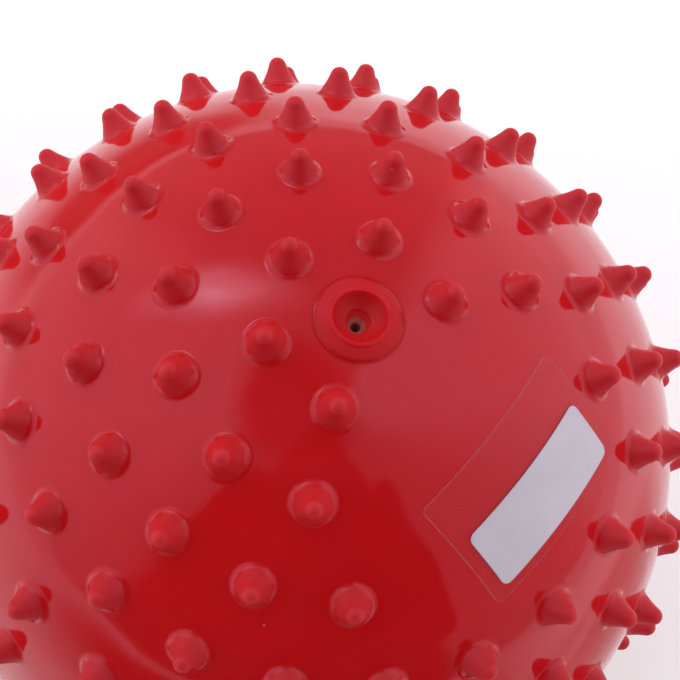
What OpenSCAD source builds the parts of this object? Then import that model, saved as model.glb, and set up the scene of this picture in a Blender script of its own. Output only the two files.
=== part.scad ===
// Inflatable sensory ball: a hollow soft skin covered in bell-shaped massage nubs,
// with an inflation valve at the top pole and a blank label panel beside it.
// Millimetres, +Z up along the valve, origin at the centre of the ball.

/* [Ball] */
// Outside diameter of the inflated skin, without the nubs
ball_d = 213.6; // [195:0.2:235]
// Thickness of the skin
wall = 0.8; // [0.6:0.1:1.4]

/* [Nubs] */
// Height of a nub above the skin
nub_h = 7.5; // [6.5:0.1:9]
// Radius of a nub where it meets the skin
nub_base_r = 5.2; // [4.6:0.1:5.8]
// Radius of the rounded tip of a nub
nub_tip_r = 2.4; // [2:0.1:2.8]
// Radius of the hollow curve down the side of a nub
nub_side_r = 20; // [14:0.5:30]
// Rings of nubs on each half of the ball
rings = 7; // [6:1:8]
// Nubs in the ring nearest each pole
first_ring_nubs = 6; // [5:1:7]

/* [Valve boss] */
// Diameter of the domed boss round the valve
boss_d = 20.3; // [18.5:0.1:23]
// Height of the boss above the skin
boss_h = 2.2; // [1.6:0.1:3]
// Height of the step at the edge of the boss
boss_step = 0.4; // [0.3:0.1:0.8]
// Diameter of the crest of the lip round the bowl
lip_d = 13.6; // [12.8:0.1:14.6]
// Radius of the rounded lip
lip_r = 0.9; // [0.7:0.1:1.2]
// Height of the lip above the dome
lip_rise = 0.25; // [0.15:0.05:0.5]
// Depth of the bowl, from the crest of the lip to its mouth
bowl_depth = 3.2; // [2.4:0.1:4]

/* [Valve neck] */
// Diameter of the hole through the skin
skin_hole_d = 15; // [14:0.1:17]
// Diameter of the flange under the skin
flange_d = 25; // [22:0.5:30]
// Thickness of the flange under the skin
flange_t = 1.2; // [0.8:0.1:2]
// Diameter of the neck inside the ball
neck_d = 12.4; // [11.4:0.1:13.4]
// Depth of the neck below the skin
neck_l = 17; // [15:0.5:22]
// Thickness of the floor of the neck
neck_floor = 1.5; // [1:0.1:2.5]

/* [Valve core] */
// Diameter of the mouth at the bottom of the bowl
mouth_d = 6; // [5.4:0.1:6.8]
// Diameter of the core inside the neck
core_d = 8.4; // [7.6:0.1:9.2]
// Length of the narrow nose of the core
nose_l = 1.6; // [1.2:0.1:2]
// Gap between the nose and the bottom of the bowl
nose_gap = 2.7; // [1.5:0.1:3.5]
// Diameter of the needle hole
needle_d = 2.3; // [1.8:0.1:2.8]
// Diameter of the dimple round the needle hole
dimple_d = 4.8; // [4:0.1:5.2]
// Depth of the dimple
dimple_depth = 1.2; // [0.8:0.1:1.8]
// Diameter of the air hole in the floor of the neck
air_hole_d = 4; // [3:0.1:5]

/* [Label panel] */
// Width of the clear film round the ball
film_w = 52; // [46:0.5:54]
// Height of the clear film
film_h = 33; // [30:0.5:36]
// Corner radius of the clear film
film_corner_r = 1.5; // [1:0.1:3]
// Thickness of the clear film
film_t = 0.2; // [0.15:0.05:0.3]
// Width of the white label
label_w = 44.5; // [38:0.5:45.5]
// Height of the white label
label_h = 17.2; // [14:0.2:20]
// Corner radius of the white label
label_corner_r = 2; // [1.5:0.1:3]
// Thickness of the white label
label_t = 0.2; // [0.15:0.05:0.3]
// Distance from the lower edge of the film to the label
label_margin = 2.6; // [2:0.1:4]

/* [Hidden] */

ball_fn = 256;
nub_fn = 32;
valve_fn = 64;

ball_r = ball_d / 2;
inner_r = ball_r - wall;
// Length that takes a cut clear of what it cuts
overrun = ball_r / 10;

// Nub pattern: rings at equal steps from pole to pole, none on the equator.
// Each ring has one nub fewer to add than the ring before it.
ring_step = 90 / (rings + 0.5);
// Turn of each ring about the valve, in degrees, counted from the nearest pole
ring_turns = [30, 1, 13, 9, 7, 7, 6];
// The bare patch is centred on the second ring, at the front
bare_tilt = 2 * ring_step;
bare_reach = 1.5 * ring_step;
front_turn = -90;

function ring_nubs(k) = first_ring_nubs * k - (k - 1) * (k - 2) / 2;
function ring_turn(k) = ring_turns[(k - 1) % len(ring_turns)];
function heading(tilt, turn) = [sin(tilt) * cos(turn), sin(tilt) * sin(turn), cos(tilt)];
function apart(a, b) = acos(min(1, max(-1, a * b)));

// Film: its centre, and its directions down and round the ball, a little askew
film_tilt = 31;
film_turn = front_turn + 7.5;
film_roll = -2;
film_out = heading(film_tilt, film_turn);
straight_down = heading(film_tilt + 90, film_turn);
straight_round = heading(90, film_turn + 90);
film_down = cos(film_roll) * straight_down + sin(film_roll) * straight_round;
film_round = cos(film_roll) * straight_round - sin(film_roll) * straight_down;
film_clear = nub_base_r + wall;

function over_film(h) =
    h * film_out > 0
    && abs(h * film_down) * ball_r < film_h / 2 + film_clear
    && abs(h * film_round) * ball_r < film_w / 2 + film_clear;
function bare(h) = apart(h, heading(bare_tilt, front_turn)) < bare_reach || over_film(h);

// Every nub as [tilt from the valve, turn about it]
nub_spots = [
    for (lower = [false, true])
        for (k = [1 : rings])
            for (i = [0 : ring_nubs(k) - 1])
                let (
                    tilt = lower ? 180 - k * ring_step : k * ring_step,
                    turn = ring_turn(k) + i * 360 / ring_nubs(k)
                )
                if (!bare(heading(tilt, turn))) [tilt, turn]
];

// Side of a nub: an arc from its foot on the skin that runs up to the ball of its tip.
// The arc bites into the tip by a hair, so that the two cross instead of only touching.
nub_root = wall / 2;
tip_bite = nub_tip_r / 100;
tip_centre = [0, nub_h - nub_tip_r];
foot = [nub_base_r, sqrt(pow(ball_r, 2) - pow(nub_base_r, 2)) - ball_r];
foot_run = norm(foot - tip_centre);
foot_way = (foot - tip_centre) / foot_run;
side_reach = nub_side_r + nub_tip_r - tip_bite;
side_along = (pow(side_reach, 2) - pow(nub_side_r, 2) + pow(foot_run, 2)) / (2 * foot_run);
side_aside = sqrt(pow(side_reach, 2) - pow(side_along, 2));
side_centre = tip_centre + side_along * foot_way + side_aside * [-foot_way[1], foot_way[0]];
side_top = tip_centre[1] + nub_tip_r * (side_centre - tip_centre)[1] / side_reach;

// Valve: heights above the centre of the ball
boss_r = boss_d / 2;
boss_edge_z = sqrt(pow(ball_r, 2) - pow(boss_r, 2));
boss_top_z = ball_r + boss_h;
dome_rise = boss_top_z - boss_edge_z - boss_step;
dome_r = (pow(boss_r, 2) + pow(dome_rise, 2)) / (2 * dome_rise);
dome_z = boss_top_z - dome_r;
crest_z = dome_z + sqrt(pow(dome_r, 2) - pow(lip_d / 2, 2)) + lip_rise;
mouth_z = crest_z - bowl_depth;
// The bowl is part of a sphere, from inside the lip's crest down to the mouth
bowl_top_r = lip_d / 2 - lip_r / 4;
bowl_lift = (pow(bowl_top_r, 2) - pow(mouth_d / 2, 2) - pow(bowl_depth, 2)) / (2 * bowl_depth);
bowl_r = sqrt(pow(bowl_top_r, 2) + pow(bowl_lift, 2));
core_top_z = mouth_z - nose_gap;
chamber_top_z = core_top_z - nose_l;
neck_z = ball_r - neck_l;
chamber_z = neck_z + neck_floor;

// Label: its centre lies below that of the film
label_drop = film_h / 2 - label_margin - label_h / 2;

// Cut through one nub, upright on the skin
module nub_profile() {
    difference() {
        union() {
            translate([0, -nub_root])
                square([side_centre[0], side_top + nub_root]);
            intersection() {
                translate(tip_centre)
                    circle(nub_tip_r);
                square([nub_h, 2 * nub_h]);
            }
        }
        translate(side_centre)
            circle(nub_side_r);
    }
}

module nub() {
    translate([0, 0, ball_r])
        rotate_extrude($fn = nub_fn)
            nub_profile();
}

module ball_skin() {
    color([0.72, 0.07, 0.09])
        difference() {
            union() {
                sphere(ball_r, $fn = ball_fn);
                for (spot = nub_spots)
                    rotate([0, spot[0], spot[1]])
                        nub();
            }
            sphere(inner_r, $fn = ball_fn);
            cylinder(d = skin_hole_d, h = ball_r + overrun, $fn = valve_fn);
        }
}

// Cut through the skin outside the valve's hole, as the valve sees it
module skin_profile() {
    difference() {
        circle(ball_r, $fn = ball_fn);
        circle(inner_r, $fn = ball_fn);
        square([skin_hole_d / 2, ball_r + overrun]);
    }
}

// Domed boss with its rounded lip, above the skin
module boss_profile() {
    intersection() {
        translate([0, dome_z])
            circle(dome_r);
        translate([0, boss_edge_z])
            square([boss_r, boss_h + overrun]);
    }
    translate([lip_d / 2, crest_z - lip_r])
        circle(lip_r);
}

// Flange against the inside of the skin, and the neck that hangs from it
module neck_profile() {
    intersection() {
        difference() {
            circle(inner_r, $fn = ball_fn);
            circle(inner_r - flange_t, $fn = ball_fn);
        }
        square([flange_d / 2, ball_r]);
    }
    translate([0, neck_z])
        square([neck_d / 2, neck_l - wall]);
    translate([0, inner_r - flange_t])
        square([skin_hole_d / 2, boss_edge_z + boss_step - inner_r + flange_t]);
}

// Bowl, mouth, chamber of the core and air hole, one below the other
module bore_profile() {
    translate([0, crest_z + bowl_lift])
        circle(bowl_r);
    translate([0, chamber_top_z])
        square([mouth_d / 2, crest_z - chamber_top_z]);
    translate([0, chamber_z])
        square([core_d / 2, chamber_top_z - chamber_z]);
    translate([0, neck_z - overrun])
        square([air_hole_d / 2, neck_floor + 2 * overrun]);
}

module valve_seat() {
    color([0.70, 0.08, 0.10])
        rotate_extrude($fn = valve_fn)
            difference() {
                intersection() {
                    union() {
                        boss_profile();
                        neck_profile();
                    }
                    square(2 * ball_r);
                }
                skin_profile();
                bore_profile();
            }
}

module valve_core() {
    color([0.60, 0.34, 0.34])
        difference() {
            union() {
                translate([0, 0, chamber_z])
                    cylinder(d = core_d, h = chamber_top_z - chamber_z, $fn = valve_fn);
                translate([0, 0, chamber_z])
                    cylinder(d = mouth_d, h = core_top_z - chamber_z, $fn = valve_fn);
            }
            translate([0, 0, neck_z])
                cylinder(d = needle_d, h = neck_l, $fn = valve_fn);
            translate([0, 0, core_top_z - dimple_depth])
                cylinder(d1 = needle_d, d2 = dimple_d, h = dimple_depth, $fn = valve_fn);
        }
}

// Rectangle with round corners, its height along X and its width along Y
module sheet(height, width, corner_r) {
    square([height, width - 2 * corner_r], center = true);
    square([height - 2 * corner_r, width], center = true);
    for (x = [-1, 1], y = [-1, 1])
        translate([x * (height / 2 - corner_r), y * (width / 2 - corner_r)])
            circle(corner_r, $fn = valve_fn);
}

// Thin sheet wrapped on a sphere of radius r, below the centre of the film by drop
module wrapped(r, thick, height, width, corner_r, drop) {
    intersection() {
        difference() {
            sphere(r + thick, $fn = ball_fn);
            sphere(r, $fn = ball_fn);
        }
        rotate([0, film_tilt, film_turn])
            rotate(film_roll)
                translate([drop, 0, ball_r / 2])
                    linear_extrude(height = ball_r)
                        sheet(height, width, corner_r);
    }
}

module label_film() {
    color([0.95, 0.93, 0.94, 0.25])
        wrapped(ball_r, film_t, film_h, film_w, film_corner_r, 0);
}

module label() {
    color([0.93, 0.92, 0.94])
        wrapped(ball_r + film_t, label_t, label_h, label_w, label_corner_r, label_drop);
}

ball_skin();
valve_seat();
valve_core();
label_film();
label();
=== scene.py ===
"""Looks of an inflatable sensory ball: glossy skin with bell-shaped nubs, a valve, a film and a label."""
import math
import random

import bpy
import numpy as np
from mathutils import Matrix, Vector
from mathutils.geometry import delaunay_2d_cdt


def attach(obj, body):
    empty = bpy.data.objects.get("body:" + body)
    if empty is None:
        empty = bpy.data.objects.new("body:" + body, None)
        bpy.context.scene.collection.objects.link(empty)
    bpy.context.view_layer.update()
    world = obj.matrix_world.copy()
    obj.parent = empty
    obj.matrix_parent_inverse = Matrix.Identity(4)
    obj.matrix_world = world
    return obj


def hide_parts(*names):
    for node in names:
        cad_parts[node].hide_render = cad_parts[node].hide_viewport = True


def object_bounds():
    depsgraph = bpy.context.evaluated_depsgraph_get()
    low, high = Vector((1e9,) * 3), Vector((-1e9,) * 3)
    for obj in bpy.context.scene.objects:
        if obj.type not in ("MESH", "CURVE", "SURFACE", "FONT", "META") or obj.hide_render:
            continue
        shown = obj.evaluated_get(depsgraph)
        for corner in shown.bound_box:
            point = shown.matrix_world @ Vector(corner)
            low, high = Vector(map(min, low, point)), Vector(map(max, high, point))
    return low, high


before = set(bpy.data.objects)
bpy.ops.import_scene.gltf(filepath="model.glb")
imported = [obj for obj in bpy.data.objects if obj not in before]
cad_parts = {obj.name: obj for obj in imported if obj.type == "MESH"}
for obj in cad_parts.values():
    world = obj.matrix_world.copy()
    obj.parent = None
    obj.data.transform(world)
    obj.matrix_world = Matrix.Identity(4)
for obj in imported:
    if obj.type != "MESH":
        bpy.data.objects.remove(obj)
cad_low, cad_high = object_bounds()

# Millimetres, turned into metres where a mesh or a material is made
MM = 0.001

# Ball and nubs
BALL_R = 106.8
WALL = 0.8
INNER_R = BALL_R - WALL
NUB_H = 7.5
NUB_BASE_R = 5.2
NUB_TIP_R = 2.4
NUB_SIDE_R = 20.0
NUB_FOOT_FILLET = 2.4
NUB_LEAN, NUB_LEAN_POWER = 0.35, 1.5
NUB_SHRINK = 0.05
NUB_SEED = 5
RINGS = 7
FIRST_RING_NUBS = 6
RING_TURNS = (30, 1, 13, 9, 7, 7, 6)
RING_STEP = 90 / (RINGS + 0.5)
FRONT_TURN = -90
BARE_TILT, BARE_REACH = 2 * RING_STEP, 1.5 * RING_STEP

# Label panel
FILM_W, FILM_H, FILM_CORNER_R, FILM_T = 52.0, 33.0, 1.5, 0.2
LABEL_W, LABEL_H, LABEL_CORNER_R, LABEL_T = 44.5, 17.2, 2.0, 0.2
LABEL_MARGIN = 2.6
FILM_TILT = 31
FILM_TURN = FRONT_TURN + 7.5
FILM_ROLL = -2
LABEL_DROP = FILM_H / 2 - LABEL_MARGIN - LABEL_H / 2

# Valve
BOSS_R, BOSS_H, BOSS_STEP = 10.15, 2.2, 0.4
BOSS_SKIRT, BOSS_FOOT, BOSS_FOOT_FILLET = 1.0, 0.45, 1.4
LIP_AT_R, LIP_R, LIP_RISE = 6.8, 0.9, 0.25
BOWL_TOP_R, BOWL_DEPTH = LIP_AT_R - LIP_R / 4, 3.2
SKIN_HOLE_R = 7.5
FLANGE_R, FLANGE_T = 12.5, 1.2
NECK_R, NECK_L, NECK_FLOOR = 6.2, 17.0, 1.5
MOUTH_R, CORE_R, NOSE_L, NOSE_GAP = 3.0, 4.2, 1.6, 2.7
NEEDLE_R, DIMPLE_DEPTH = 1.15, 1.2
CORE_CREEP, CORE_CREEP_IN = 2.2, 0.9
AIR_HOLE_R = 2.0
VALLEY_ROUND, RIM_ROUND, MOUTH_ROUND = LIP_R / 2, LIP_R / 8, LIP_R / 4
NECK_ROUND, FLANGE_ROUND, CORE_ROUND = NECK_FLOOR / 2, FLANGE_T / 2, DIMPLE_DEPTH / 4

# Mesh fineness
NUB_SIDES = 24
NUB_FILLET_STEPS, NUB_SIDE_STEPS, NUB_TIP_STEPS = 3, 5, 5
FILL_STEP, FILL_CLEAR, FILL_FEWEST = 4.0, 0.5, 6
NEAR_POLE = 0.1
HOLE_SIDES = 64
INNER_RINGS = 40
LATHE_SIDES = 96
SHARP_ANGLE = 40
ROUNDING_STEPS = 5
DOME_STEPS = 6
LIP_STEPS = 8
BOWL_STEPS = 12
FLANGE_STEPS = 5
SHEET_STEP = 1.5
CORNER_STEPS = 6

# Kinds of triangulation, and how close two points count as one
HULL, INSIDE = 0, 1
SAME_POINT = 1e-7

# Colours
VINYL_DEEP, VINYL_LIGHT = (0.485, 0.0045, 0.006, 1), (0.525, 0.006, 0.008, 1)
DUST = (0.6, 0.14, 0.15, 1)
GLOSS_TINT = (0.95, 0.73, 1, 1)
# The core's first red is its stain at the mouth's wall, painted brighter than the vinyl as light bounced
# inside the mouth
CORE_STAIN_AND_BOUNCE, CORE_DARK, CORE_PALE = (0.70, 0.014, 0.018, 1), (0.36, 0.09, 0.085, 1), (0.50, 0.16, 0.15, 1)
FILM_TINT = (0.75, 0.62, 0.65, 1)
PAPER_DEEP, PAPER_LIGHT = (0.50, 0.43, 0.51, 1), (0.56, 0.49, 0.57, 1)

# Finishes
VINYL_ROUGH, CORE_ROUGH, FILM_ROUGH, PAPER_ROUGH = (0.05, 0.12), (0.4, 0.65), (0.1, 0.25), (0.3, 0.5)
VINYL_IOR = 1.52
VINYL_GLOW = 0.25
GLOW_REACH = (4, 0.8, 0.8)
FROM_CENTRE, FROM_AXIS = (1, 1, 1), (1, 1, 0)
NUB_DULLNESS, NUB_DULL_FROM, NUB_DULL_TO = 0.45, BALL_R, BALL_R + 2
VALVE_DULLNESS, VALVE_DULL_FROM, VALVE_DULL_TO = 0.34, BOSS_R + 0.6, BOSS_R - 0.3
SKIN_SHINE, VALVE_SHINE = 0.5, 0.25
# Span from the axis over which the core turns to the stain red with its painted bounced light
STAIN_BOUNCE_FROM, STAIN_BOUNCE_TO = MOUTH_R - 1.6 * CORE_CREEP_IN, MOUTH_R - CORE_CREEP_IN / 2
FILM_HAZE = (0, 0.02)
# Painted highlight along the film's edges: width of its band in millimetres, and how much of the film's pale
# colour it shows
FILM_HIGHLIGHT_BAND, FILM_EDGE_HIGHLIGHT = 0.5, 0.1

# Noise textures, at a scale per metre, and the spans of noise that a colour or a gloss uses
CLOUD, SMUDGE = {"Scale": 14, "Detail": 3}, {"Scale": 55, "Detail": 5, "Roughness": 0.6}
WAVES, GRAIN = {"Scale": 55, "Detail": 1}, {"Scale": 900, "Detail": 2}
MOTTLE, HAZE = {"Scale": 600, "Detail": 4}, {"Scale": 90, "Detail": 4}
FIBRE, TONE = {"Scale": 1500, "Detail": 5, "Roughness": 0.7}, {"Scale": 60, "Detail": 2}
CLOUD_SPAN, NOISE_SPAN, FULL_SPAN = (0.35, 0.65), (0.3, 0.7), (0, 1)

# Dust specks, at a scale per metre, with radii in shares of the space between them
SPECK_SCALE, SPECK_EDGE, SPECK_CORE = 45, 0.016, 0.008

# Bumps: strength, and height in millimetres
WAVE_BUMP, GRAIN_BUMP, MOTTLE_BUMP, FIBRE_BUMP = (1, 0.3), (0.25, 0.02), (0.3, 0.05), (0.15, 0.03)

# Sockets of a colour mix
MIX_A, MIX_B, MIX_OUT = 6, 7, 2

# Lamps, in metres and degrees: name, tilt, turn, width, height and brightness
LAMP_DISTANCE = 0.9
WATTS_PER_M2 = 3.5
LAMPS = (
    ("back", 70, 57, 1.4, 0.5, 0.85),
    ("right", 75, -45, 1.4, 0.5, 0.75),
    ("left", 75, 135, 1.4, 0.5, 0.6),
    ("front", 58, 227, 1.2, 1.2, 0.2),
)
KEY_TILT, KEY_TURN = 41, 89
KEY_END_TILT, KEY_END_TURN = 26, 55
KEY_LENGTH, KEY_WIDTH, KEY_BRIGHTNESS = 0.95, 0.34, 3.8

# Light tent, in metres and degrees, with its shade at each turn round its apex
TENT_R, TENT_RINGS, TENT_SIDES = 2.0, 16, 32
TENT_TILT, TENT_TURN = 8, 225
TENT_SEAM_TURN = 220
TENT_SHADES = (
    (0, 0.02), (37, 0.03), (42, 0.35), (76, 0.5), (88, 0.75), (105, 1), (148, 1), (158, 0.4), (190, 0.4),
    (215, 0.5), (228, 0.85), (268, 1), (290, 0.75), (308, 0.45), (319, 0.03),
)
TENT_CAP_TILT, TENT_CAP_TURN = 10, 160
TENT_CAP_INNER, TENT_CAP_OUTER = 10, 22
TENT_CAP_SHADE = 0.12

# Flag and floor, in metres and degrees; a shade has a name, turn, distance, length, width and level
FLAG_FROM, FLAG_TO = 178, 262
FLAG_TOP_TILT, FLAG_FOOT_TILT = 28, 78
FLAG_R, FLAG_STEPS = 1.6, 8
FLAG_COLOUR = (0.03, 0.03, 0.03, 1)
FLOOR_SIZE = 20.0
FLOOR_COLOUR = (0.93, 0.92, 0.95, 1)
FLOOR_SHADES = (
    ("front_shade", 217, 0.85, 1.5, 1.9, 0.03),
    ("back_shade", 74, 0.85, 1.3, 1.0, 0.15),
    ("right_shade", 285, 0.35, 0.4, 0.5, 0.5),
)
SHADE_EDGE, SHADE_LIFT = 0.5, 0.003

# Photograph's camera
IMAGE_PX = 680
FOCAL_PX = 1585
SENSOR_MM = 36
CAMERA_AT = (-137.7, -52.1, 443.7)
CAMERA_AIM = (29.5, 14.0, 12.2)
CAMERA_UP = (0.640, 0.682, 0.353)


def heading(tilt, turn):
    """Unit vector that leans tilt degrees from the valve, turn degrees round it."""
    a, b = math.radians(tilt), math.radians(turn)
    return Vector((math.sin(a) * math.cos(b), math.sin(a) * math.sin(b), math.cos(a)))


def all_round(tilt, sides):
    """Directions at equal steps all round the valve, at one tilt."""
    return [heading(tilt, 360 * i / sides) for i in range(sides)]


def tilt_at(radius_out, at_r):
    """Tilt of a point on a sphere about the ball's centre, at_r from the valve's axis."""
    return math.degrees(math.asin(at_r / radius_out))


def on_ball(radius_out, at_r):
    """Height of a point on a sphere about the ball's centre, at_r from the valve's axis."""
    return math.sqrt(radius_out ** 2 - at_r ** 2)


def axes_at(x, y, z, at=(0, 0, 0)):
    """Matrix that points an object's axes along x, y and z, with its origin at a place."""
    return Matrix.Translation(at) @ Matrix((x, y, z)).transposed().to_4x4()


def arc(centre, r, start, end, steps):
    """Points on an arc, angles in radians, both ends included."""
    return [
        (centre[0] + r * math.cos(start + (end - start) * i / steps),
         centre[1] + r * math.sin(start + (end - start) * i / steps))
        for i in range(steps + 1)
    ]


def meet(c1, r1, c2, r2, side):
    """One crossing of two circles, the one to the left (side 1) or right (-1) of the way from c1 to c2."""
    c1, c2 = Vector(c1), Vector(c2)
    way = c2 - c1
    run = way.length
    way /= run
    along = (r1 * r1 - r2 * r2 + run * run) / (2 * run)
    aside = math.sqrt(r1 * r1 - along * along)
    return c1 + along * way + side * aside * Vector((-way.y, way.x))


def film_axes():
    """Directions out of the film's middle, down it and across it."""
    down, across = heading(FILM_TILT + 90, FILM_TURN), heading(90, FILM_TURN + 90)
    c, s = math.cos(math.radians(FILM_ROLL)), math.sin(math.radians(FILM_ROLL))
    return heading(FILM_TILT, FILM_TURN), c * down + s * across, c * across - s * down


def over_film(h):
    """True where a nub would stand on the film."""
    clear = NUB_BASE_R + WALL
    out, down, across = film_axes()
    return (
        h.dot(out) > 0
        and abs(h.dot(down)) * BALL_R < FILM_H / 2 + clear
        and abs(h.dot(across)) * BALL_R < FILM_W / 2 + clear
    )


def bare(h):
    """True in the patch in front of the valve that has no nubs, and on the film."""
    patch = heading(BARE_TILT, FRONT_TURN)
    return math.degrees(h.angle(patch)) < BARE_REACH or over_film(h)


def ring_nubs(k):
    """Number of places for nubs in ring k, counted from the pole."""
    return FIRST_RING_NUBS * k - (k - 1) * (k - 2) // 2


def nub_headings():
    """Every nub's direction: rings at equal steps from pole to pole, none in the bare patch."""
    found = []
    for lower in (False, True):
        for k in range(1, RINGS + 1):
            tilt = 180 - k * RING_STEP if lower else k * RING_STEP
            count = ring_nubs(k)
            for i in range(count):
                h = heading(tilt, RING_TURNS[k - 1] + i * 360 / count)
                if not bare(h):
                    found.append(h)
    return found


def nub_profile():
    """(radius, height, normal) from the foot to just short of the tip: fillet, hollow side, round tip."""
    ball = Vector((0, -BALL_R))
    tip = Vector((0, NUB_H - NUB_TIP_R))
    foot = Vector((NUB_BASE_R, on_ball(BALL_R, NUB_BASE_R) - BALL_R))
    side = meet(tip, NUB_SIDE_R + NUB_TIP_R, foot, NUB_SIDE_R, 1)
    from_ball, from_side = BALL_R + NUB_FOOT_FILLET, NUB_SIDE_R - NUB_FOOT_FILLET
    both = [meet(ball, from_ball, side, from_side, way) for way in (1, -1)]
    fillet = min(both, key=lambda centre: abs(centre.x - NUB_BASE_R))
    points = []

    def angle(v):
        return math.atan2(v.y, v.x)

    def add(centre, r, start, end, steps, hollow):
        for i in range(steps):
            a = start + (end - start) * i / steps
            out = Vector((math.cos(a), math.sin(a)))
            p = centre + r * out
            points.append((p.x, p.y, -out if hollow else out))

    start, end = angle(ball - fillet), angle(fillet - side)
    end_down = end - 2 * math.pi if end > start else end
    add(fillet, NUB_FOOT_FILLET, start, end_down, NUB_FILLET_STEPS, True)
    start, end = (angle(v) % (2 * math.pi) for v in (fillet - side, tip - side))
    add(side, NUB_SIDE_R, start, end, NUB_SIDE_STEPS, True)
    add(tip, NUB_TIP_R, angle(side - tip), math.pi / 2, NUB_TIP_STEPS, False)
    return points


class Shape:
    """Vertices, faces and exact normals of a mesh in the making, in millimetres."""

    def __init__(self):
        self.points, self.normals, self.faces = [], [], []

    def add(self, point, normal):
        """Adds a vertex and gives its number."""
        self.points.append(Vector(point))
        self.normals.append(Vector(normal).normalized())
        return len(self.points) - 1

    def bridge(self, low, high):
        """Quads between two closed rows of as many vertices."""
        count = len(low)
        for i in range(count):
            j = (i + 1) % count
            self.faces.append((low[i], low[j], high[j], high[i]))

    def cap(self, row, tip):
        """Triangles from a closed row of vertices to one more."""
        count = len(row)
        self.faces.extend((row[i], row[(i + 1) % count], tip) for i in range(count))

    def mesh_object(self, name, material, exact_normals=True):
        """Smooth object of this shape, with its exact normals or Blender's own."""
        mesh = bpy.data.meshes.new(name)
        mesh.from_pydata([p * MM for p in self.points], [], self.faces)
        mesh.polygons.foreach_set("use_smooth", [True] * len(mesh.polygons))
        if exact_normals:
            mesh.normals_split_custom_set_from_vertices([tuple(n) for n in self.normals])
        mesh.materials.append(material)
        mesh.update()
        made = bpy.data.objects.new(name, mesh)
        bpy.context.scene.collection.objects.link(made)
        return made


class Net:
    """Flat map of one half of the skin, cut into triangles between the feet of its nubs."""

    # Mark of points that may make a triangle with each other
    OPEN = -1

    def __init__(self, shape, half):
        self.shape, self.half = shape, half
        self.flat, self.index, self.group, self.edges = [], [], [], []

    def place(self, vertex, mark=OPEN):
        """Puts a vertex on the map, as the opposite pole sees it."""
        h = self.shape.normals[vertex]
        self.flat.append(Vector((h.x, h.y)) / (1 + self.half * h.z))
        self.index.append(vertex)
        self.group.append(mark)

    def ring(self, vertices, mark=OPEN):
        """Closed row of vertices; one with a mark of its own stays empty inside."""
        first, count = len(self.flat), len(vertices)
        for v in vertices:
            self.place(v, mark)
        self.edges.extend((first + i, first + (i + 1) % count) for i in range(count))

    def fill(self):
        """Adds the triangles to the shape."""
        _, _, triangles, origin, _, _ = delaunay_2d_cdt(self.flat, self.edges, [], HULL, SAME_POINT)
        for t in triangles:
            corners = [origin[v][0] for v in t]
            marks = {self.group[c] for c in corners}
            if len(marks) == 1 and marks != {self.OPEN}:
                continue
            face = tuple(self.index[c] for c in corners)
            self.shape.faces.append(face if self.half > 0 else face[::-1])


def side_axes(h):
    """Two directions square to h."""
    across = h.cross(Vector((0, 0, 1)))
    if across.length < NEAR_POLE:
        across = h.cross(Vector((1, 0, 0)))
    across.normalize()
    return across, h.cross(across)


def add_nub(shape, h, profile, chance):
    """Adds one nub, which leans and shrinks a little by chance, and gives the vertices of its foot."""
    across, along = side_axes(h)
    side, reach = chance.uniform(0, 2 * math.pi), chance.uniform(0, NUB_LEAN)
    lean = reach * (math.cos(side) * across + math.sin(side) * along)
    height = 1 - chance.uniform(0, NUB_SHRINK)
    rows = []
    for r, z, normal in profile:
        rise = max(0, z / NUB_H) ** NUB_LEAN_POWER
        middle = (BALL_R + z * (1 + (height - 1) * rise)) * h + rise * lean
        row = []
        for i in range(NUB_SIDES):
            a = 2 * math.pi * i / NUB_SIDES
            out = math.cos(a) * across + math.sin(a) * along
            row.append(shape.add(middle + r * out, normal.y * h + normal.x * out))
        rows.append(row)
    for low, high in zip(rows, rows[1:]):
        shape.bridge(low, high)
    shape.cap(rows[-1], shape.add((BALL_R + NUB_H * height) * h + lean, h))
    return rows[0]


def fill_points(half, nubs, foot_angle):
    """Directions that cover one half of the skin between the nubs, the valve's hole and the equator."""
    step = FILL_STEP / BALL_R
    rows = round(math.pi / 2 / step)
    found = [Vector((0, 0, half))]
    for row in range(1, rows):
        a = math.pi / 2 * row / rows
        count = max(FILL_FEWEST, round(2 * math.pi * math.sin(a) / step))
        for i in range(count):
            b = 2 * math.pi * (i + row % 2 / 2) / count
            found.append(Vector((math.sin(a) * math.cos(b), math.sin(a) * math.sin(b), half * math.cos(a))))
    nearest = (np.array(found) @ np.array(nubs).T).max(1)
    clear = math.cos(foot_angle + FILL_CLEAR * step)
    hole = math.cos(math.asin(SKIN_HOLE_R / BALL_R) + FILL_CLEAR * step)
    return [p for p, near in zip(found, nearest) if near < clear and p.z < hole]


def skin_half(shape, half, equator, nubs, profile):
    """Adds the outer surface of one half, and gives the vertices of the valve's hole, if it has one."""
    net = Net(shape, half)
    net.ring(equator)
    chance = random.Random(NUB_SEED + half)
    for mark, h in enumerate(nubs):
        net.ring(add_nub(shape, h, profile, chance), mark)
    hole = []
    if half > 0:
        hole = [shape.add(BALL_R * h, h) for h in all_round(tilt_at(BALL_R, SKIN_HOLE_R), HOLE_SIDES)]
        net.ring(hole, len(nubs))
    foot_angle = math.asin(profile[0][0] / BALL_R)
    for h in fill_points(half, nubs, foot_angle):
        net.place(shape.add(BALL_R * h, h))
    net.fill()
    return hole


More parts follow.
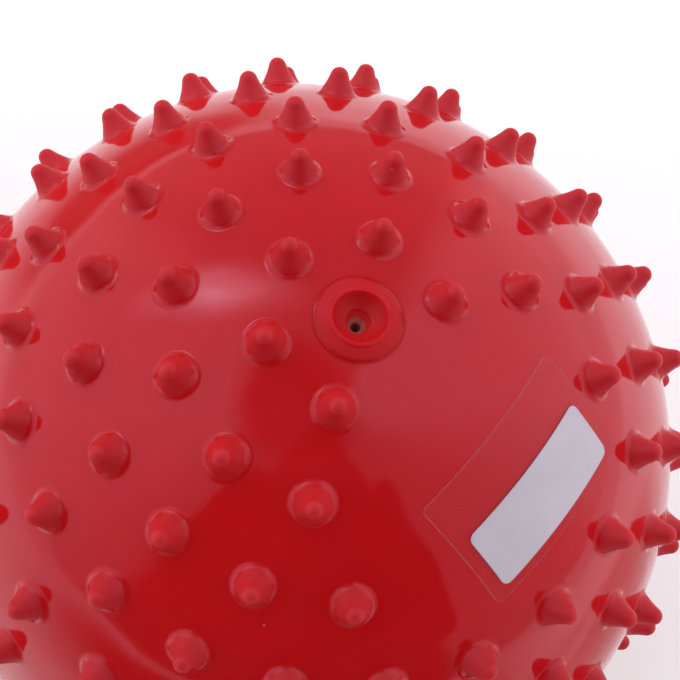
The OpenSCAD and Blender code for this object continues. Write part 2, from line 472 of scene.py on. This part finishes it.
def soft_skin(material):
    """The inflated skin: an outer surface with nubs, an inner one, and the valve's hole through both."""
    shape = Shape()
    profile = nub_profile()
    nubs = nub_headings()
    count = round(2 * math.pi * BALL_R / FILL_STEP)
    equator = [shape.add(BALL_R * h, h) for h in all_round(90, count)]
    above = skin_half(shape, 1, equator, [h for h in nubs if h.z > 0], profile)
    skin_half(shape, -1, equator, [h for h in nubs if h.z < 0], profile)
    first = tilt_at(INNER_R, SKIN_HOLE_R)
    for row in range(INNER_RINGS):
        tilt = first + (180 - first) * row / INNER_RINGS
        below = [shape.add(INNER_R * h, -h) for h in all_round(tilt, HOLE_SIDES)]
        shape.bridge(above, below)
        above = below
    shape.cap(above, shape.add((0, 0, -INNER_R), (0, 0, 1)))
    return shape.mesh_object("soft_skin", material)


def fillet_path(corners):
    """Path from its corners (radius, height, rounding), each rounded unless its rounding is 0."""
    found = []
    count = len(corners)
    for i, (x, y, rounding) in enumerate(corners):
        here = Vector((x, y))
        if not rounding:
            found.append(here)
            continue
        before = Vector(corners[i - 1][:2]) - here
        after = Vector(corners[(i + 1) % count][:2]) - here
        half = before.angle(after) / 2
        back = rounding / math.tan(half)
        start, end = here + back * before.normalized(), here + back * after.normalized()
        centre = here + rounding / math.sin(half) * (before.normalized() + after.normalized()).normalized()
        a, b = (math.atan2(*(v - centre).yx) for v in (start, end))
        turn = (b - a + math.pi) % (2 * math.pi) - math.pi
        found += [Vector(q) for q in arc(centre, rounding, a, a + turn, ROUNDING_STEPS)]
    return found


def lathe(name, corners, material):
    """Ring of revolution about the valve's axis; its closed path (radius, height) runs counter-clockwise."""
    shape = Shape()
    turned = all_round(90, LATHE_SIDES)
    rows = []
    for p in fillet_path(corners):
        rows.append([shape.add((p.x * h.x, p.x * h.y, p.y), h) for h in turned])
    for low, high in zip(rows, rows[1:] + rows[:1]):
        shape.bridge(low, high)
    made = shape.mesh_object(name, material, exact_normals=False)
    made.data.set_sharp_from_angle(angle=math.radians(SHARP_ANGLE))
    return made


def sphere_corners(radius_out, from_r, to_r, steps):
    """Unrounded corners along a sphere about the ball's centre, ends left out."""
    found = []
    for i in range(1, steps):
        r = from_r + (to_r - from_r) * i / steps
        found.append((r, on_ball(radius_out, r), 0))
    return found


def valve_heights():
    """Heights of the valve's bowl, mouth, core and neck above the ball's centre, and two radii."""
    edge_z = on_ball(BALL_R, BOSS_R)
    rise = BALL_R + BOSS_H - edge_z - BOSS_STEP
    dome_r = (BOSS_R ** 2 + rise ** 2) / (2 * rise)
    dome_z = BALL_R + BOSS_H - dome_r
    crest_z = dome_z + on_ball(dome_r, LIP_AT_R) + LIP_RISE
    mouth_z = crest_z - BOWL_DEPTH
    bowl_lift = (BOWL_TOP_R ** 2 - MOUTH_R ** 2 - BOWL_DEPTH ** 2) / (2 * BOWL_DEPTH)
    core_top_z = mouth_z - NOSE_GAP
    return {
        "edge": edge_z, "dome_r": dome_r, "dome": dome_z, "crest": crest_z, "mouth": mouth_z,
        "bowl_r": math.hypot(BOWL_TOP_R, bowl_lift), "bowl": crest_z + bowl_lift,
        "core_top": core_top_z, "chamber_top": core_top_z - NOSE_L,
        "neck": BALL_R - NECK_L, "chamber": BALL_R - NECK_L + NECK_FLOOR,
    }


def boss_corners(z, valley):
    """Corners from the boss's thin skirt on the skin, over its dome, to the valley outside the lip."""
    skirt_r, foot_r = BOSS_R + BOSS_SKIRT, BOSS_R + BOSS_FOOT
    corners = [(skirt_r, on_ball(BALL_R, skirt_r), 0), (foot_r, on_ball(BALL_R, foot_r), BOSS_FOOT_FILLET)]
    corners.append((BOSS_R, z["edge"] + BOSS_STEP, 0))
    dome_end_r = valley.x + VALLEY_ROUND
    for i in range(1, DOME_STEPS + 1):
        r = BOSS_R + (dome_end_r - BOSS_R) * i / DOME_STEPS
        corners.append((r, z["dome"] + on_ball(z["dome_r"], r), 0))
    return corners + [(valley.x, valley.y, VALLEY_ROUND)]


def bowl_corners(z, bowl, rim):
    """Corners from the lip's inner rim down the bowl to the mouth."""
    corners = [(rim.x, rim.y, RIM_ROUND)]
    start, end = (math.atan2(bowl.y - up, r) for r, up in (rim, (MOUTH_R, z["mouth"])))
    for i in range(1, BOWL_STEPS):
        a = start + (end - start) * i / BOWL_STEPS
        corners.append((z["bowl_r"] * math.cos(a), z["bowl"] - z["bowl_r"] * math.sin(a), 0))
    return corners + [(MOUTH_R, z["mouth"], MOUTH_ROUND)]


def hidden_corners(z):
    """Corners of the chamber, the neck and the flange inside the ball, up to the skin's hole."""
    under_r = INNER_R - FLANGE_T
    return [
        (MOUTH_R, z["chamber_top"], 0), (CORE_R, z["chamber_top"], 0), (CORE_R, z["chamber"], 0),
        (AIR_HOLE_R, z["chamber"], 0), (AIR_HOLE_R, z["neck"], 0), (NECK_R, z["neck"], NECK_ROUND),
        (NECK_R, on_ball(under_r, NECK_R), FLANGE_ROUND),
        *sphere_corners(under_r, NECK_R + FLANGE_T, FLANGE_R, FLANGE_STEPS),
        (FLANGE_R, on_ball(under_r, FLANGE_R), 0), (FLANGE_R, on_ball(INNER_R, FLANGE_R), 0),
        *sphere_corners(INNER_R, FLANGE_R, SKIN_HOLE_R, FLANGE_STEPS),
        (SKIN_HOLE_R, on_ball(INNER_R, SKIN_HOLE_R), 0), (SKIN_HOLE_R, on_ball(BALL_R, SKIN_HOLE_R), 0),
    ]


def valve_moulding(material):
    """Domed boss, raised lip, bowl, mouth and chamber, with the neck and flange inside the ball."""
    z = valve_heights()
    lip, dome, bowl = (Vector(p) for p in ((LIP_AT_R, z["crest"] - LIP_R), (0, z["dome"]), (0, z["bowl"])))
    valley = meet(dome, z["dome_r"], lip, LIP_R, -1)
    rim = meet(bowl, z["bowl_r"], lip, LIP_R, 1)
    start, end = (math.atan2(p.y - lip.y, p.x - lip.x) for p in (valley, rim))
    # The roundings of the valley and the rim take the place of the lip's ends
    lip_corners = [(r, up, 0) for r, up in arc(lip, LIP_R, start, end, LIP_STEPS)[2:-1]]
    corners = boss_corners(z, valley) + lip_corners + bowl_corners(z, bowl, rim) + hidden_corners(z)
    return lathe("valve_moulding", corners, material)


def rubber_core(material):
    """Soft core in the chamber: it creeps up the mouth's wall, and a dimple leads a needle in."""
    z = valve_heights()
    corners = [
        (CORE_R, z["chamber"], 0), (CORE_R, z["chamber_top"], 0), (MOUTH_R, z["chamber_top"], 0),
        (MOUTH_R, z["core_top"] + CORE_CREEP, 0), (MOUTH_R - CORE_CREEP_IN, z["core_top"], CORE_ROUND),
        (NEEDLE_R, z["core_top"] - DIMPLE_DEPTH, CORE_ROUND), (NEEDLE_R, z["chamber"], 0),
    ]
    return lathe("rubber_core", corners, material)


def sheet_outline(height, width, corner_r, inset):
    """Rounded rectangle, counter-clockwise, its straight sides cut into short steps."""
    found = []
    x, y, r = height / 2 - corner_r, width / 2 - corner_r, corner_r - inset
    for quarter, (sx, sy) in enumerate(((1, 1), (-1, 1), (-1, -1), (1, -1))):
        start = quarter * math.pi / 2
        found += [Vector(q) for q in arc((sx * x, sy * y), r, start, start + math.pi / 2, CORNER_STEPS)]
    path = []
    for here, after in zip(found, found[1:] + found[:1]):
        steps = max(1, round((after - here).length / SHEET_STEP))
        path += [here.lerp(after, i / steps) for i in range(steps)]
    return path


def wrapped_sheet(name, r, thick, height, width, corner_r, drop, material):
    """Thin sheet on a sphere of radius r, below the film's middle by drop, with softened edges."""
    out, down, across = film_axes()
    shape = Shape()

    def place(q, radius_out):
        x = q.x + drop
        lift = math.sqrt(radius_out ** 2 - x ** 2 - q.y ** 2)
        point = lift * out + x * down + q.y * across
        return shape.add(point, point)

    edge = sheet_outline(height, width, corner_r, 0)
    top = sheet_outline(height, width, corner_r, thick / 2)[: len(edge)]
    rows, columns = round(height / SHEET_STEP), round(width / SHEET_STEP)
    inside = []
    for i in range(1, rows):
        for j in range(1, columns):
            q = Vector((height * (i / rows - 0.5), width * (j / columns - 0.5)))
            if min((q - e).length for e in edge) > SHEET_STEP / 2:
                inside.append(q)

    def face(outline, radius_out, outward):
        flat = outline + inside
        vertices = [place(q, radius_out) for q in flat]
        count = len(outline)
        edges = [(i, (i + 1) % count) for i in range(count)]
        _, _, triangles, origin, _, _ = delaunay_2d_cdt(flat, edges, [], INSIDE, SAME_POINT)
        for t in triangles:
            corners = tuple(vertices[origin[v][0]] for v in t)
            shape.faces.append(corners if outward else corners[::-1])
        return vertices[:count]

    bottom_row = face(edge, r, False)
    top_row = face(top, r + thick, True)
    side_row = [place(q, r + thick / 2) for q in edge]
    shape.bridge(bottom_row, side_row)
    shape.bridge(side_row, top_row)
    return shape.mesh_object(name, material)


class Finish:
    """A new material, and short ways to add nodes to it."""

    def __init__(self, name):
        self.material = bpy.data.materials.new(name)
        self.material.use_nodes = True
        self.tree = self.material.node_tree
        self.shader = self.tree.nodes["Principled BSDF"]

    def add(self, kind, inputs=None, **properties):
        """New node with its properties and fixed inputs."""
        made = self.tree.nodes.new(kind)
        for key, value in properties.items():
            setattr(made, key, value)
        self.put(made, inputs or {})
        return made

    def put(self, node, inputs):
        """Gives a node's inputs fixed values."""
        for key, value in inputs.items():
            node.inputs[key].default_value = value

    def link(self, out_node, out_name, in_node, in_name):
        """Joins an output to an input, each by its name or number."""
        self.tree.links.new(out_node.outputs[out_name], in_node.inputs[in_name])

    def place(self, node, socket):
        """Feeds a node the point's place on the object."""
        self.link(self.add("ShaderNodeTexCoord"), "Object", node, socket)

    def noise(self, settings):
        """Noise texture that stays put on the object."""
        made = self.add("ShaderNodeTexNoise", settings)
        self.place(made, "Vector")
        return made

    def dot(self, way):
        """How far a point lies along a way from the object's origin."""
        made = self.add("ShaderNodeVectorMath", {1: way}, operation="DOT_PRODUCT")
        self.place(made, 0)
        return made

    def distance(self, mask):
        """Distance of a point from the object's origin, along the axes that mask keeps."""
        kept = self.add("ShaderNodeVectorMath", {1: mask}, operation="MULTIPLY")
        self.place(kept, 0)
        length = self.add("ShaderNodeVectorMath", operation="LENGTH")
        self.link(kept, 0, length, 0)
        return length

    def remap(self, node, output, span, to=FULL_SPAN, smooth=False):
        """A node's output, stretched from one span to another."""
        ends = {"From Min": span[0], "From Max": span[1], "To Min": to[0], "To Max": to[1]}
        made = self.add("ShaderNodeMapRange", ends, interpolation_type="SMOOTHSTEP" if smooth else "LINEAR")
        self.link(node, output, made, "Value")
        return made

    def combine(self, operation, first, second):
        """Sum, product or the like of two nodes' first outputs."""
        made = self.add("ShaderNodeMath", operation=operation)
        self.link(first, 0, made, 0)
        self.link(second, 0, made, 1)
        return made

    def ramp(self, node, stops):
        """Colours at places of a node's output from 0 to 1."""
        made = self.add("ShaderNodeValToRGB")
        elements = made.color_ramp.elements
        while len(elements) < len(stops):
            elements.new(1)
        for element, (position, colour) in zip(elements, stops):
            element.position, element.color = position, colour
        self.link(node, "Fac", made, "Fac")
        return made

    def tint(self, factor, ramp, colour):
        """A ramp's colour that turns into another with a factor."""
        made = self.add("ShaderNodeMix", {MIX_B: colour}, data_type="RGBA")
        self.link(factor, "Result", made, "Factor")
        self.link(ramp, "Color", made, MIX_A)
        return made

    def bump(self, node, strength, height, under=None):
        """Bump from a node's noise, on top of another bump if there is one."""
        made = self.add("ShaderNodeBump", {"Strength": strength, "Distance": height * MM})
        self.link(node, "Fac", made, "Height")
        if under:
            self.link(under, "Normal", made, "Normal")
        return made


def soft_vinyl(name, mask, dull_span, dullness, shine):
    """Glossy soft PVC: uneven red, dust, smudges, gloss that dulls with distance, waves and fine grain."""
    vinyl = Finish(name)
    red = vinyl.ramp(vinyl.noise(CLOUD), tuple(zip(CLOUD_SPAN, (VINYL_DEEP, VINYL_LIGHT))))
    specks = vinyl.add("ShaderNodeTexVoronoi", {"Scale": SPECK_SCALE})
    vinyl.place(specks, "Vector")
    speck = vinyl.remap(specks, "Distance", (SPECK_EDGE, SPECK_CORE))
    vinyl.link(vinyl.tint(speck, red, DUST), MIX_OUT, vinyl.shader, "Base Color")
    gloss = vinyl.remap(vinyl.noise(SMUDGE), "Fac", NOISE_SPAN, VINYL_ROUGH)
    dull_at = [r * MM for r in dull_span]
    dull = vinyl.remap(vinyl.distance(mask), "Value", dull_at, (0, dullness), smooth=True)
    vinyl.link(vinyl.combine("ADD", gloss, dull), 0, vinyl.shader, "Roughness")
    slow = vinyl.bump(vinyl.noise(WAVES), *WAVE_BUMP)
    fine = vinyl.bump(vinyl.noise(GRAIN), *GRAIN_BUMP, under=slow)
    vinyl.link(fine, "Normal", vinyl.shader, "Normal")
    vinyl.put(vinyl.shader, {
        "IOR": VINYL_IOR, "Specular IOR Level": shine, "Specular Tint": GLOSS_TINT,
        "Subsurface Weight": VINYL_GLOW, "Subsurface Scale": 1,
        "Subsurface Radius": [r * MM for r in GLOW_REACH],
    })
    return vinyl.material


def matt_rubber():
    """Greyish pink rubber with a powdery, mottled face, stained red at the mouth's wall, where the red is
    painted brighter than the vinyl as light bounced inside the mouth.
    """
    rubber = Finish("rubber")
    mottle = rubber.noise(MOTTLE)
    pink = rubber.ramp(mottle, tuple(zip(NOISE_SPAN, (CORE_DARK, CORE_PALE))))
    # Red stain at the mouth's wall, painted brighter as light bounced inside the mouth
    stain_bounce_at = (STAIN_BOUNCE_FROM * MM, STAIN_BOUNCE_TO * MM)
    stain_and_bounce = rubber.remap(rubber.distance(FROM_AXIS), "Value", stain_bounce_at, smooth=True)
    rubber.link(rubber.tint(stain_and_bounce, pink, CORE_STAIN_AND_BOUNCE), MIX_OUT, rubber.shader, "Base Color")
    rough = rubber.remap(mottle, "Fac", FULL_SPAN, CORE_ROUGH)
    rubber.link(rough, "Result", rubber.shader, "Roughness")
    rubber.link(rubber.bump(mottle, *MOTTLE_BUMP), "Normal", rubber.shader, "Normal")
    return rubber.material


def clear_film():
    """Clear film: almost see-through, with smudges in its gloss and a painted pale highlight along its
    edges.
    """
    film = Finish("film")
    haze = film.noise(HAZE)
    alpha = film.remap(haze, "Fac", FULL_SPAN, FILM_HAZE)
    _, down, across = film_axes()
    # Pale band along each edge: painted highlight where light would catch the film's edge
    for way, size in ((down, FILM_H), (across, FILM_W)):
        aside = film.add("ShaderNodeMath", operation="ABSOLUTE")
        film.link(film.dot(way), "Value", aside, 0)
        highlight_at = ((size / 2 - FILM_HIGHLIGHT_BAND) * MM, size / 2 * MM)
        alpha = film.combine("MAXIMUM", alpha, film.remap(aside, 0, highlight_at, (0, FILM_EDGE_HIGHLIGHT)))
    film.link(alpha, 0, film.shader, "Alpha")
    film.link(film.remap(haze, "Fac", FULL_SPAN, FILM_ROUGH), "Result", film.shader, "Roughness")
    film.put(film.shader, {"Base Color": FILM_TINT})
    return film.material


def label_paper():
    """Pale satin paper with a faint fibre and uneven tone."""
    paper = Finish("paper")
    fibre = paper.noise(FIBRE)
    pale = paper.ramp(paper.noise(TONE), tuple(zip(NOISE_SPAN, (PAPER_DEEP, PAPER_LIGHT))))
    paper.link(pale, "Color", paper.shader, "Base Color")
    rough = paper.remap(fibre, "Fac", FULL_SPAN, PAPER_ROUGH)
    paper.link(rough, "Result", paper.shader, "Roughness")
    paper.link(paper.bump(fibre, *FIBRE_BUMP), "Normal", paper.shader, "Normal")
    return paper.material


class StudioFinish(Finish):
    """Material of the studio, without the usual shader."""

    def __init__(self, name):
        super().__init__(name)
        self.tree.nodes.remove(self.shader)
        del self.shader

    def show(self, node):
        """Sends a node straight to the output."""
        self.link(node, 0, self.tree.nodes["Material Output"], "Surface")

    def show_matt(self, colour):
        """Plain matt colour."""
        self.show(self.add("ShaderNodeBsdfDiffuse", {"Color": colour}))

    def show_veil(self, node, output):
        """Clear veil that dims what is behind it to a node's level or colour."""
        veil = self.add("ShaderNodeBsdfTransparent")
        self.link(node, output, veil, "Color")
        self.show(veil)

    def fade(self, length, width, kind):
        """Level that falls from the middle of a card to its edge."""
        size = self.add("ShaderNodeMapping", {"Scale": (2 / length, 2 / width, 1)})
        self.place(size, "Vector")
        made = self.add("ShaderNodeTexGradient", gradient_type=kind)
        self.link(size, "Vector", made, "Vector")
        return made


def studio_mesh(name, points, faces, finish):
    """Object of the studio: seen in the gloss and by the light, but not by the camera."""
    mesh = bpy.data.meshes.new(name)
    mesh.from_pydata(points, [], faces)
    mesh.materials.append(finish.material)
    made = bpy.data.objects.new(name, mesh)
    made.visible_camera = False
    bpy.context.scene.collection.objects.link(made)
    return made


def card(name, length, width, finish):
    """Flat rectangle of the studio, about its own middle."""
    x, y = length / 2, width / 2
    return studio_mesh(name, [(-x, -y, 0), (x, -y, 0), (x, y, 0), (-x, y, 0)], [(0, 1, 2, 3)], finish)


def place_camera():
    """Camera at the photograph's place, with the same field of view."""
    data = bpy.data.cameras.new("camera")
    data.sensor_width = SENSOR_MM
    data.lens = FOCAL_PX / IMAGE_PX * SENSOR_MM
    at, aim = Vector(CAMERA_AT) * MM, Vector(CAMERA_AIM) * MM
    forward = (aim - at).normalized()
    right = forward.cross(Vector(CAMERA_UP)).normalized()
    camera = bpy.data.objects.new("camera", data)
    camera.matrix_world = axes_at(right, right.cross(forward), -forward, at)
    bpy.context.scene.collection.objects.link(camera)
    bpy.context.scene.camera = camera


def key_card():
    """Long lamp with soft edges that the gloss shows; its middle has its brightness, where 1 is white."""
    key = StudioFinish("key")
    level = key.add("ShaderNodeMath", {1: KEY_BRIGHTNESS}, operation="MULTIPLY")
    key.link(key.fade(KEY_LENGTH, KEY_WIDTH, "QUADRATIC_SPHERE"), "Fac", level, 0)
    glow = key.add("ShaderNodeEmission")
    key.link(level, 0, glow, "Strength")
    both = key.add("ShaderNodeAddShader")
    key.link(glow, 0, both, 0)
    key.link(key.add("ShaderNodeBsdfTransparent"), 0, both, 1)
    key.show(both)
    made = card("key_card", KEY_LENGTH, KEY_WIDTH, key)
    out = heading(KEY_TILT, KEY_TURN)
    across = (-out).cross(heading(KEY_END_TILT, KEY_END_TURN)).normalized()
    made.matrix_world = axes_at(across.cross(-out), across, -out, out * LAMP_DISTANCE)


def soft_box(name, tilt, turn, width, height, brightness):
    """Area lamp that faces the ball and stays out of the gloss; brightness scales its watts."""
    data = bpy.data.lights.new(name, "AREA")
    data.shape = "RECTANGLE"
    data.size, data.size_y = width, height
    data.energy = brightness * WATTS_PER_M2 * width * height
    lamp = bpy.data.objects.new(name, data)
    out = heading(tilt, turn)
    lamp.location = out * LAMP_DISTANCE
    lamp.rotation_mode = "QUATERNION"
    lamp.rotation_quaternion = (-out).to_track_quat("-Z", "Y")
    lamp.visible_camera = False
    lamp.visible_glossy = False
    bpy.context.scene.collection.objects.link(lamp)


def dark_flag():
    """Black cloth that hangs in front of the ball, as dark as the room behind the photograph's camera."""
    flag = StudioFinish("flag")
    flag.show_matt(FLAG_COLOUR)
    turns = [FLAG_FROM + (FLAG_TO - FLAG_FROM) * i / FLAG_STEPS for i in range(FLAG_STEPS + 1)]
    points = [heading(tilt, turn) * FLAG_R for tilt in (FLAG_TOP_TILT, FLAG_FOOT_TILT) for turn in turns]
    count = len(turns)
    faces = [(i, i + 1, count + i + 1, count + i) for i in range(FLAG_STEPS)]
    studio_mesh("flag", points, faces, flag)


def floor_shade(name, turn, r, length, width, level):
    """Soft dark patch of the floor that only the gloss shows; it throws no shadow."""
    shade = StudioFinish(name)
    fade = shade.fade(length, width, "SPHERICAL")
    shade.show_veil(shade.remap(fade, "Fac", (0, SHADE_EDGE), (1, level), smooth=True), "Result")
    patch = card(name, length, width, shade)
    patch.visible_diffuse = False
    patch.visible_shadow = False
    at = heading(90, turn) * r + Vector((0, 0, cad_low.z + SHADE_LIFT))
    patch.matrix_world = Matrix.Translation(at) @ Matrix.Rotation(math.radians(turn), 4, "Z")


def studio_world():
    """Plain white all round."""
    world = bpy.data.worlds.new("studio")
    bpy.context.scene.world = world
    world.use_nodes = True
    world.node_tree.nodes["Background"].inputs["Color"].default_value = (1, 1, 1, 1)


def globe(r, rings, sides):
    """Points and faces of a sphere: its two poles, then its rings from the top down."""
    points = [Vector((0, 0, r)), Vector((0, 0, -r))]
    for i in range(1, rings):
        points += [h * r for h in all_round(180 * i / rings, sides)]
    firsts = [2 + i * sides for i in range(rings - 1)]
    faces = []
    for j in range(sides):
        k = (j + 1) % sides
        faces.append((0, firsts[0] + j, firsts[0] + k))
        faces += [(a + j, b + j, b + k, a + k) for a, b in zip(firsts, firsts[1:])]
        faces.append((firsts[-1] + j, 1, firsts[-1] + k))
    return points, faces


def light_tent():
    """Dims the world in the gloss: white panels at the sides, grey behind the ball, dark in front."""
    veil = StudioFinish("tent")
    round_apex = veil.add("ShaderNodeTexGradient", gradient_type="RADIAL")
    veil.place(round_apex, "Vector")
    panels = veil.ramp(round_apex, [(turn / 360, (level, level, level, 1)) for turn, level in TENT_SHADES])
    apex, seam = heading(TENT_TILT, TENT_TURN), heading(90, TENT_SEAM_TURN)
    left = apex.cross(-seam).normalized()
    axes = (left.cross(apex), left, apex)
    cap_way = Matrix(axes) @ heading(TENT_CAP_TILT, TENT_CAP_TURN) / TENT_R
    cap_at = [math.cos(math.radians(a)) for a in (TENT_CAP_OUTER, TENT_CAP_INNER)]
    cap = veil.remap(veil.dot(cap_way), "Value", cap_at, (1, TENT_CAP_SHADE), smooth=True)
    both = veil.add("ShaderNodeMix", {"Factor": 1}, data_type="RGBA", blend_type="MULTIPLY")
    veil.link(panels, "Color", both, MIX_A)
    veil.link(cap, "Result", both, MIX_B)
    veil.show_veil(both, MIX_OUT)
    tent = studio_mesh("tent", *globe(TENT_R, TENT_RINGS, TENT_SIDES), veil)
    tent.visible_diffuse = False
    tent.matrix_world = axes_at(*axes)


def studio_floor():
    """Plain pale floor under the ball."""
    matt = StudioFinish("floor")
    matt.show_matt(FLOOR_COLOUR)
    floor = card("floor", FLOOR_SIZE, FLOOR_SIZE, matt)
    floor.location.z = cad_low.z
    floor.visible_camera = True


def dress(piece, node):
    """The piece stands for a CAD node, which it hides, and moves with the part."""
    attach(piece, "root")
    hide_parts(node)


skin_look = (FROM_CENTRE, (NUB_DULL_FROM, NUB_DULL_TO), NUB_DULLNESS, SKIN_SHINE)
dress(soft_skin(soft_vinyl("skin_vinyl", *skin_look)), "ball_skin")
valve_look = (FROM_AXIS, (VALVE_DULL_FROM, VALVE_DULL_TO), VALVE_DULLNESS, VALVE_SHINE)
dress(valve_moulding(soft_vinyl("valve_vinyl", *valve_look)), "valve_seat")
dress(rubber_core(matt_rubber()), "valve_core")
film_at = (BALL_R, FILM_T, FILM_H, FILM_W, FILM_CORNER_R, 0)
dress(wrapped_sheet("clear_film", *film_at, clear_film()), "label_film")
label_at = (BALL_R + FILM_T, LABEL_T, LABEL_H, LABEL_W, LABEL_CORNER_R, LABEL_DROP)
dress(wrapped_sheet("paper_label", *label_at, label_paper()), "label")

place_camera()
key_card()
for lamp in LAMPS:
    soft_box(*lamp)
dark_flag()
for shade in FLOOR_SHADES:
    floor_shade(*shade)
studio_world()
light_tent()
studio_floor()
bpy.context.scene.view_settings.view_transform = "Standard"
